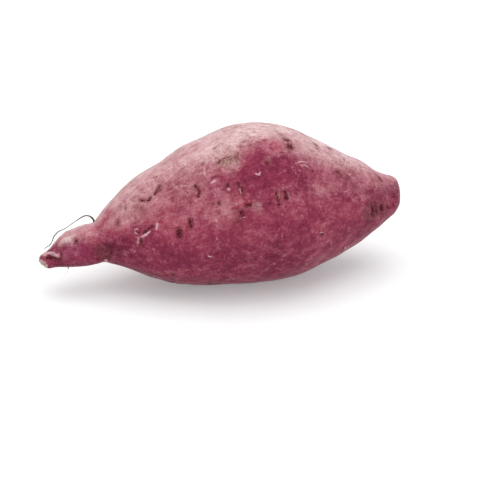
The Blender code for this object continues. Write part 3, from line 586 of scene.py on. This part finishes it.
# Grain of root tissue, for the skin, the torn end and the rootlets: streaks of a length and width along the
# root, and short wrinkles across it
grain, grain_in, grain_out = group(
    "root grain",
    (("Spot", "Vector"), ("Length", "Float"), ("Width", "Float")),
    (("Streaks", "Float"), ("Wrinkles", "Float")),
)
along_rate = maths(grain, "DIVIDE", 1.0, grain_in.outputs["Length"])
across_rate = maths(grain, "DIVIDE", 1.0, grain_in.outputs["Width"])
streak_rate = add_node(grain, "CombineXYZ", {0: along_rate, 1: across_rate, 2: across_rate}).outputs[0]
wrinkle_rate = add_node(grain, "CombineXYZ", {0: across_rate, 1: along_rate, 2: along_rate}).outputs[0]
for rate, output in ((streak_rate, "Streaks"), (wrinkle_rate, "Wrinkles")):
    lines = mottle(grain, stretched(grain, grain_in.outputs["Spot"], rate), 1.0, 3.0, 0.6)
    grain.links.new(scaled(grain, lines, 0.28, 0.72), grain_out.inputs[output])


def start_material(name):
    """A new material, its node tree, its shader, and the spot on the piece in millimetres."""
    material = bpy.data.materials.new(name)
    material.use_nodes = True
    tree = material.node_tree
    spot = stretched(tree, add_node(tree, "TexCoord").outputs["Object"], (1 / MM,) * 3)
    return material, tree, tree.nodes["Principled BSDF"], spot


def place_grain(tree, spot, length, width):
    """The root grain in a material, with streaks of this length and width."""
    made = add_node(tree, "Group", node_tree=grain)
    tree.links.new(spot, made.inputs["Spot"])
    made.inputs["Length"].default_value = length
    made.inputs["Width"].default_value = width
    return made.outputs["Streaks"], made.outputs["Wrinkles"]


# The skin: thin crimson cork that is dusty pale where it was scuffed, with a painted highlight on its crest
skin, tree, shader, spot = start_material("sweet potato skin")
lie = add_node(tree, "Attribute", attribute_name="lie").outputs["Vector"]
streaks, wrinkles = place_grain(tree, lie, 7.0, 0.9)
cloud = mottle(tree, spot, 12.0, 3.0, 0.55)
blotch = mottle(tree, spot, 3.6, 4.0, 0.6)
grit = mottle(tree, spot, 1.1, 3.0, 0.65)
# The crimson's tone, with painted shade under the belly, in the crease and low on the tail
shade = times(tree, kept(tree, "tone_and_painted_shade"), 0.20)
for noisy, amount in ((cloud, 0.46), (blotch, 0.66), (grit, 0.60), (streaks, 0.05), (wrinkles, 0.02)):
    shade = plus(tree, shade, swing(tree, noisy, amount))
shade = plus(tree, shade, 0.5)
colour = colours(tree, shade, (
    (0.0, (0.085, 0.008, 0.023)),
    (0.25, (0.18, 0.020, 0.051)),
    (0.5, (0.30, 0.042, 0.081)),
    (0.75, (0.41, 0.072, 0.117)),
    (1.0, (0.52, 0.12, 0.165)),
))
colour = mixed(tree, times(tree, kept(tree, "violet"), 0.55), colour, (0.285, 0.046, 0.118, 1))

# Dust, scuffing and the painted highlight on the crest, mottled and streaked, with a ragged edge below it
ragged = plus(tree, kept(tree, "scuffed"), swing(tree, blotch, 10.0), swing(tree, grit, 6.0))
dust_and_highlight_share = plus(tree, kept(tree, "dust_and_painted_highlight"), scaled(tree, ragged, -3.0, 4.5, 0.0, 0.15))
patchy = plus(tree, kept(tree, "dust_and_painted_highlight"), 0.10)
for noisy, amount in ((cloud, 1.1), (blotch, 1.8), (grit, 1.4), (streaks, 0.42)):
    dust_and_highlight_share = plus(tree, dust_and_highlight_share, times(tree, swing(tree, noisy, amount), patchy))
dust_and_highlight_share = add_node(tree, "Clamp", {"Value": dust_and_highlight_share, "Min": 0.0, "Max": 0.95}).outputs[0]
dust_and_highlight_colour = colours(tree, cloud, ((0.35, (0.70, 0.55, 0.52)), (0.65, (0.72, 0.57, 0.58))))
colour = mixed(tree, dust_and_highlight_share, colour, dust_and_highlight_colour)

# Thin pale lines where the cork split as the root swelled, and a pale net with darker cells where it is
# crackled
split = maths(tree, "ABSOLUTE", maths(tree, "SUBTRACT", mottle(tree, lie, 4.5, 2.0), 0.5))
split = times(tree, scaled(tree, split, 0.012, 0.003), scaled(tree, blotch, 0.48, 0.60, 0.0, 0.28))
colour = mixed(tree, split, colour, (0.70, 0.48, 0.49, 1))
wave = add_node(tree, "TexNoise", {"Vector": spot, "Scale": 0.5}).outputs["Color"]
bent = {0: stretched(tree, spot, (0.5,) * 3), 1: stretched(tree, wave, (1.6,) * 3)}
bent = add_node(tree, "VectorMath", bent, operation="ADD").outputs[0]
cells = add_node(tree, "TexVoronoi", {"Vector": bent, "Scale": 1.2}, feature="DISTANCE_TO_EDGE").outputs[0]
crackled = scaled(tree, plus(tree, kept(tree, "crackle"), swing(tree, blotch, 1.2)), 0.30, 0.70)
filled = times(tree, scaled(tree, cells, 0.10, 0.30), times(tree, crackled, 0.30))
colour = mixed(tree, filled, colour, (0.26, 0.09, 0.085, 1))
net = times(tree, scaled(tree, cells, 0.16, 0.02), times(tree, crackled, 0.36))
colour = mixed(tree, net, colour, (0.74, 0.46, 0.41, 1))

# Fine dark and pale specks
dark_specks = add_node(tree, "TexVoronoi", {"Vector": spot, "Scale": 0.30}).outputs["Distance"]
pale_specks = add_node(tree, "TexVoronoi", {"Vector": spot, "Scale": 0.37}).outputs["Distance"]
colour = mixed(tree, scaled(tree, dark_specks, 0.14, 0.05, 0.0, 0.55), colour, (0.09, 0.018, 0.03, 1))
colour = mixed(tree, scaled(tree, pale_specks, 0.10, 0.04, 0.0, 0.22), colour, (0.70, 0.46, 0.47, 1))

# The marks, with outlines that the grit frays. How far inside a mark each of its colours starts and is full:
# pits and cracks have a reddish brown edge, partly painted shade round their dents, and a dark middle that
# crumbled to bits.
fray = plus(tree, swing(tree, grit, 2.2), swing(tree, blotch, 1.4))
crumbled = mottle(tree, spot, 0.9, 2.0, 0.6)
scab_stops = (0.35, (0.17, 0.060, 0.058)), (0.5, (0.31, 0.155, 0.135)), (0.65, (0.44, 0.27, 0.24))
stain_stops = (0.35, (0.12, 0.016, 0.026)), (0.65, (0.28, 0.085, 0.095))
EDGE_AND_DENT_SHADE_COLOUR = (0.16, 0.026, 0.036, 1)
PIT_COLOUR = (0.078, 0.003, 0.010, 1)
masks = {}
for name, kind, breaking, start, end, most, mark_colour in (
    ("stain", "stain", 0.0, -0.9, 0.9, 0.75, colours(tree, grit, stain_stops)),
    ("scab", "scab", 0.0, -0.4, 0.3, 0.90, colours(tree, grit, scab_stops)),
    ("pit edge and shade", "pit", 1.0, -1.1, 0.4, 0.60, EDGE_AND_DENT_SHADE_COLOUR),
    ("scar edge and shade", "scar", 1.0, -0.9, 0.2, 0.50, EDGE_AND_DENT_SHADE_COLOUR),
    ("pit", "pit", 4.5, 0.25, 0.75, 0.97, PIT_COLOUR),
    ("scar", "scar", 3.5, 0.0, 0.50, 0.97, PIT_COLOUR),
    ("fleck", "fleck", 0.0, -0.3, 0.4, 0.65, (0.74, 0.43, 0.47, 1)),
):
    frayed = plus(tree, kept(tree, kind), plus(tree, fray, swing(tree, crumbled, breaking)))
    strong = kept(tree, kind + "_strength")
    masks[name] = times(tree, scaled(tree, frayed, start, end, 0.0, most), strong)
    colour = mixed(tree, masks[name], colour, mark_colour)

# Torn flesh shows where the tip broke off
torn_mask = scaled(tree, plus(tree, kept(tree, "torn"), times(tree, fray, 0.25)), 0.35, 0.65)
flesh_stops = (0.35, (0.10, 0.035, 0.035)), (0.5, (0.42, 0.30, 0.24)), (0.62, (0.76, 0.66, 0.57))
colour = mixed(tree, torn_mask, colour, colours(tree, grit, flesh_stops))
tree.links.new(colour, shader.inputs["Base Color"])

rough = plus(tree, 0.50, times(tree, dust_and_highlight_share, 0.25), times(tree, grit, 0.12))
tree.links.new(rough, shader.inputs["Roughness"])
for name, value in (("Specular IOR Level", 0.07), ("Sheen Weight", 0.22), ("Sheen Roughness", 0.3)):
    shader.inputs[name].default_value = value

lift = times(tree, streaks, 0.05)
for mask, amount in (
    (wrinkles, 0.02), (grit, 0.14), (blotch, 0.18), (net, 0.10), (masks["fleck"], 0.06),
    (masks["pit"], -0.20), (masks["scar"], -0.16),
):
    lift = plus(tree, lift, times(tree, mask, amount))
bump = add_node(tree, "Bump", {"Height": lift, "Distance": MM, "Strength": 0.8})
tree.links.new(bump.outputs["Normal"], shader.inputs["Normal"])
root.data.materials.append(skin)
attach(root, "root")
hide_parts("storage_root")

# Bits of dry cork in the eyes and cracks: what is left of side roots that broke off there, dark and crumbly.
# Each is a ragged sliver that sits in the skin by this much, with a new cross section every so often.
CRUMB_SINK = 0.3
SLIVER_STEP = 0.35
column_turns = np.append(turn[0], 180.0)


def on_skin(spots):
    """The points of the finished skin at these distances along and turns, and the ways out of it."""
    rows = np.interp([spot[0] for spot in spots], ring_along, np.arange(RINGS))
    columns = np.interp([turn_between(spot[1], 0) for spot in spots], column_turns, np.arange(FACETS + 1))
    row, column = np.minimum(rows.astype(int), RINGS - 2), columns.astype(int) % FACETS
    down, over = (rows - row)[:, None], (columns - np.floor(columns))[:, None]
    beyond = (column + 1) % FACETS
    first = skin_points[row, column] * (1 - over) + skin_points[row, beyond] * over
    second = skin_points[row + 1, column] * (1 - over) + skin_points[row + 1, beyond] * over
    return first * (1 - down) + second * down, outward[row, column]


def add_sliver(points, faces, stroke, half_width, rise, lean, chance):
    """Adds a ragged sliver along a stroke on the skin, pointed at both ends and raised more on one side."""
    lengths = [math.dist(a, b) for a, b in zip(stroke, stroke[1:])]
    ends = np.concatenate(((0,), np.cumsum(lengths)))
    steps = max(4, int(ends[-1] / SLIVER_STEP))
    marks = np.linspace(0, ends[-1], steps + 1)
    spots = list(zip(*(np.interp(marks, ends, [spot[axis] for spot in stroke]) for axis in (0, 1))))
    middles, ways_out = on_skin(spots)
    ways = np.gradient(middles, axis=0)
    base = len(points)
    points.append(middles[0] - CRUMB_SINK * ways_out[0])
    for step in range(1, steps):
        swell = math.sin(math.pi * step / steps) ** 0.5 * chance.uniform(0.6, 1.25)
        across = np.cross(ways_out[step], ways[step])
        across *= half_width * swell / max(np.linalg.norm(across), 1e-6)
        middle = middles[step] + across * chance.uniform(-0.25, 0.25)
        out = ways_out[step] * rise * swell
        points.append(middle - across + out * (0.5 - lean))
        points.append(middle + out)
        points.append(middle + across + out * (0.5 + lean))
        points.append(middle - CRUMB_SINK * ways_out[step])
    points.append(middles[-1] - CRUMB_SINK * ways_out[-1])
    last = len(points) - 1
    for corner in range(4):
        beside = (corner + 1) % 4
        faces.append((base, base + 1 + beside, base + 1 + corner))
        faces.append((last, last - 4 + corner, last - 4 + beside))
        for step in range(steps - 2):
            a = base + 1 + 4 * step
            faces.append((a + corner, a + beside, a + 4 + beside, a + 4 + corner))


def dry_material(name, grain_size, cloud, streaked, stops, rough, relief, lift, specular=0.5):
    """Dry root tissue: streaks and clouds of colour, matt, raised by its shade, streaks or wrinkles."""
    material, tree, shader, spot = start_material(name)
    streaks, wrinkles = place_grain(tree, spot, *grain_size)
    shade = plus(tree, times(tree, streaks, streaked), times(tree, mottle(tree, spot, cloud), 1 - streaked))
    tree.links.new(colours(tree, shade, stops), shader.inputs["Base Color"])
    tree.links.new(scaled(tree, shade, 0.2, 0.8, *rough), shader.inputs["Roughness"])
    shader.inputs["Specular IOR Level"].default_value = specular
    raised = {"shade": shade, "streaks": streaks, "wrinkles": wrinkles}[relief]
    bump = add_node(tree, "Bump", {"Height": raised, "Distance": lift * MM})
    tree.links.new(bump.outputs["Normal"], shader.inputs["Normal"])
    return material


# The bits, and with them the curls of the next piece, because both follow the marks. How far each stands up.
CRUMB_RISE, CURL_RISE = 0.08, 0.32
chance = random.Random(23)
crumbs, crumb_faces, curls, curl_faces = [], [], [], []
for kind, half_width, strength, stroke in MARKS:
    if kind in ("scab", "stain") or stroke[0][0] > TAIL_SCAR_AT:
        continue
    if len(stroke) == 1:
        (middle, at), half_length = stroke[0], chance.uniform(0.6, 1.1) * half_width
        bearing = chance.uniform(0, math.pi)
        forward = half_length * math.cos(bearing)
        degrees = half_length * math.sin(bearing) / half_width_at(middle) * A_RADIAN
        stroke = ((middle - forward, at - degrees), (middle + forward, at + degrees))
    if kind == "fleck":
        wide = (0.2 + 0.5 * strength) * half_width
        add_sliver(curls, curl_faces, stroke, wide, CURL_RISE, chance.choice((-0.6, 0.6)), chance)
        continue
    ends = np.array(stroke, float)
    for _ in range(max(2, round(1.8 * strength * len(stroke)))):
        start = chance.uniform(0, len(stroke) - 1.25) if len(stroke) > 2 else chance.uniform(0, 0.6)
        low = min(int(start), len(stroke) - 2)
        first = ends[low] + (ends[low + 1] - ends[low]) * (start - low)
        second = first + (ends[low + 1] - ends[low]) * chance.uniform(0.15, 0.4)
        drift = chance.uniform(-0.5, 0.5) * half_width * np.array((1.0, A_RADIAN / half_width_at(first[0])))
        wide = (0.4 if kind == "pit" else 0.5) * half_width * strength * chance.uniform(0.5, 1.1)
        piece = (tuple(first + drift), tuple(second + drift * chance.uniform(0.4, 1.0)))
        add_sliver(crumbs, crumb_faces, piece, wide, CRUMB_RISE, 0.0, chance)
eye_crumbs = mesh_of("eye_crumbs", crumbs, crumb_faces)
crumb_stops = (0.25, (0.030, 0.003, 0.006)), (0.5, (0.080, 0.011, 0.018)), (0.8, (0.17, 0.045, 0.05))
eye_crumbs.data.materials.append(
    dry_material("dry root crumbs", (1.0, 0.3), 0.8, 0.4, crumb_stops, (0.8, 0.95), "shade", 0.15, 0.05)
)
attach(eye_crumbs, "root")

# Lifted bits of skin: where the cork was nicked it dried, turned pale and curled up along one edge. They hold
# to the skin by the other edge.
lifted = mesh_of("lifted_skin", curls, curl_faces)
lifted_stops = (0.25, (0.46, 0.19, 0.23)), (0.5, (0.74, 0.44, 0.48)), (0.75, (0.86, 0.64, 0.66))
lifted.data.materials.append(
    dry_material("dry lifted skin", (1.2, 0.3), 0.9, 0.4, lifted_stops, (0.7, 0.9), "wrinkles", 0.1, 0.25)
)
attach(lifted, "root")

# The torn end of the neck. The root was snapped off its vine there, so short frayed fibres and flaps of dry
# flesh stand round the break, inside a rim of skin.
FIBRES = 34
chance = random.Random(5)
broken = skin_points.reshape(-1, 3)[over_break.reshape(-1) > 0]
break_middle = broken.mean(axis=0)
side = np.cross(BREAK_FACING, (0, 0, 1))
side /= np.linalg.norm(side)
over = np.cross(side, BREAK_FACING)
points, faces = [], []
for count in range(FIBRES):
    angle = 2 * math.pi * (count + chance.uniform(-0.4, 0.4)) / FIBRES
    spoke = math.cos(angle) * side + math.sin(angle) * over
    rim = max((broken - break_middle) @ spoke)
    foot = break_middle + spoke * rim * chance.uniform(0.35, 0.95) - 0.5 * BREAK_FACING
    reach_out = chance.uniform(0.5, 1.2)
    width = chance.uniform(0.16, 0.42)
    flat = np.cross(BREAK_FACING, spoke)
    curl = chance.uniform(-0.5, 0.3)
    base = len(points)
    for step in range(5):
        part = step / 4
        middle = foot + BREAK_FACING * (0.2 + reach_out * part) + spoke * curl * part * part
        wide = width * (1 - 0.75 * part)
        thick = 0.11 * (1 - 0.6 * part)
        for out, across in ((thick, 0), (0, wide), (-thick, 0), (0, -wide)):
            points.append(middle + spoke * out + flat * across)
    for step in range(4):
        for corner in range(4):
            a = base + 4 * step + corner
            b = base + 4 * step + (corner + 1) % 4
            faces.append((a, b, b + 4, a + 4))
    faces += [(base, base + 3, base + 2, base + 1), tuple(base + 16 + corner for corner in range(4))]
fibres = mesh_of("torn_fibres", points, faces)
fibre_stops = (0.3, (0.22, 0.10, 0.08)), (0.5, (0.62, 0.50, 0.42)), (0.7, (0.84, 0.76, 0.67))
fibres.data.materials.append(
    dry_material("dry torn fibres", (1.2, 0.2), 1.0, 0.4, fibre_stops, (0.75, 0.95), "streaks", 0.1)
)
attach(fibres, "root")

# Hair rootlets: thin dry side roots, dark brown, that grew out of the root. One arches over the neck, a
# short one hangs under it, and a pale hair trails from that one. Each point is distance along, distance to
# the back, height and radius.
NECK_ROOTLET = (
    (-59.6, 3.4, 31.6, 0.55), (-60.2, 3.8, 35.0, 0.50), (-61.0, 4.0, 36.6, 0.46), (-62.5, 4.0, 37.8, 0.34),
    (-64.0, 4.0, 38.1, 0.30), (-65.8, 4.0, 37.6, 0.30), (-70.0, 4.0, 35.1, 0.19), (-74.0, 4.0, 32.4, 0.18),
    (-77.0, 4.0, 31.3, 0.24), (-78.8, 4.0, 29.8, 0.28), (-80.0, 4.0, 28.3, 0.25), (-80.7, 4.0, 26.2, 0.20),
    (-81.8, 4.0, 24.4, 0.23), (-83.4, 3.8, 23.5, 0.19), (-85.0, 3.6, 22.7, 0.12),
)
SHORT_ROOTLET = ((-74.2, -3.6, 16.4, 0.34), (-74.4, -4.1, 15.4, 0.29), (-74.6, -4.3, 14.7, 0.18))
PALE_HAIR = (
    (-74.5, -4.2, 15.0, 0.06), (-74.9, -4.6, 13.6, 0.05), (-75.7, -4.9, 12.4, 0.04),
    (-76.8, -5.1, 11.5, 0.03),
)
ROOTLET_WANDER = 0.06


def rootlet(name, rows, material):
    """A thin root through these points, as a smooth tapering curve that wanders a little."""
    curve = bpy.data.curves.new(name, "CURVE")
    curve.dimensions = "3D"
    curve.bevel_depth = MM
    curve.bevel_resolution = 3
    curve.use_fill_caps = True
    rows = np.array(rows)
    padded = np.vstack((2 * rows[0] - rows[1], rows, 2 * rows[-1] - rows[-2]))
    line = []
    for low in range(len(rows) - 1):
        line += [between(*padded[low : low + 4], part) for part in np.linspace(0, 1, 6, endpoint=False)]
    line.append(rows[-1])
    spline = curve.splines.new("POLY")
    spline.points.add(len(line) - 1)
    for count, (point, row) in enumerate(zip(spline.points, line)):
        wander = ROOTLET_WANDER * np.array([noise.noise((count / 3, apart, 0)) for apart in (0, 5, 9)])
        point.co = (*((row[:3] - UNDER_MIDDLE + wander) * MM), 1)
        point.radius = row[3] * (1 + 0.25 * noise.noise((count / 2, 20, 0)))
    curve.materials.append(material)
    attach(placed(name, curve), "root")


bark_stops = (0.2, (0.018, 0.008, 0.007)), (0.5, (0.06, 0.028, 0.025)), (0.85, (0.16, 0.10, 0.09))
bark = dry_material("dry rootlet bark", (2.5, 0.25), 1.5, 0.5, bark_stops, (0.6, 0.85), "wrinkles", 0.08)
rootlet("neck_rootlet", NECK_ROOTLET, bark)
rootlet("short_rootlet", SHORT_ROOTLET, bark)

hair, tree, shader, spot = start_material("pale root hair")
streaks, wrinkles = place_grain(tree, spot, 1.5, 0.2)
hair_colour = colours(tree, streaks, ((0.2, (0.40, 0.38, 0.32)), (0.8, (0.62, 0.60, 0.54))))
tree.links.new(hair_colour, shader.inputs["Base Color"])
tree.links.new(scaled(tree, streaks, 0.0, 1.0, 0.5, 0.7), shader.inputs["Roughness"])
rootlet("pale_hair", PALE_HAIR, hair)

# The floor: a sheet of plain white card. It glows a little, as if lit from below, so that the shadow on it is
# light.
FLOOR_HALF = 3000
FLOOR_GLOW = 0.245
floor_corners = [(x * FLOOR_HALF, y * FLOOR_HALF, 0) for x, y in ((-1, -1), (1, -1), (1, 1), (-1, 1))]
floor = mesh_of("floor", floor_corners, [(0, 1, 2, 3)])
card, tree, shader, spot = start_material("white card")
card_colour = colours(tree, mottle(tree, spot, 40.0), ((0.3, (0.72, 0.72, 0.72)), (0.7, (0.74, 0.74, 0.74))))
tree.links.new(card_colour, shader.inputs["Base Color"])
shader.inputs["Emission Color"].default_value = (0.94, 1, 1, 1)
for name, value in (("Emission Strength", FLOOR_GLOW), ("Roughness", 0.9), ("Specular IOR Level", 0.1)):
    shader.inputs[name].default_value = value
floor.data.materials.append(card)

# The light: a large soft lamp overhead, a little to the right and the back, in an evenly lit white room. The
# lamp points at the middle of the root.
LAMP_SIZE = 1.3
LAMP_AT = (0.05, 0.05, 1.0)
ROOT_MIDDLE = (0, 0, 0.03)
LAMP_WATTS = 8.0
lamp = placed("overhead lamp", bpy.data.lights.new("overhead lamp", "AREA"))
lamp.data.size = LAMP_SIZE
lamp.data.energy = LAMP_WATTS
lamp.location = LAMP_AT
lamp.rotation_euler = (Vector(ROOT_MIDDLE) - Vector(LAMP_AT)).to_track_quat("-Z", "Y").to_euler()
ROOM_LIGHT = 0.80
room = bpy.data.worlds.new("white room")
room.use_nodes = True
room.node_tree.nodes["Background"].inputs["Color"].default_value = (1, 1, 1, 1)
room.node_tree.nodes["Background"].inputs["Strength"].default_value = ROOM_LIGHT
bpy.context.scene.world = room
bpy.context.scene.view_settings.view_transform = "Standard"

# The camera: in front, a little to the left and above, far off. A pixel of the picture is this many
# millimetres at the root, and the middle of the picture is this far to the right of and below its body.
AZIMUTH, ELEVATION = math.radians(-12), math.radians(25)
DISTANCE = 1200
MM_A_PIXEL, PIXELS = 0.485, 500
SENSOR = 36
AIM = Vector((0, 0, 38))
RIGHT_OF_AIM, BELOW_AIM = 13.9, 21.55
flat = math.cos(ELEVATION)
back = Vector((math.sin(AZIMUTH) * flat, -math.cos(AZIMUTH) * flat, math.sin(ELEVATION)))
right = Vector((math.cos(AZIMUTH), math.sin(AZIMUTH), 0))
target = AIM + RIGHT_OF_AIM * right - BELOW_AIM * back.cross(right)
camera = placed("camera", bpy.data.cameras.new("camera"))
camera.data.sensor_width = SENSOR
camera.data.lens = SENSOR * DISTANCE / (MM_A_PIXEL * PIXELS)
camera.data.clip_start, camera.data.clip_end = 0.1, 20
camera.location = (target + back * DISTANCE) * MM
camera.rotation_euler = (-back).to_track_quat("-Z", "Y").to_euler()
bpy.context.scene.camera = camera
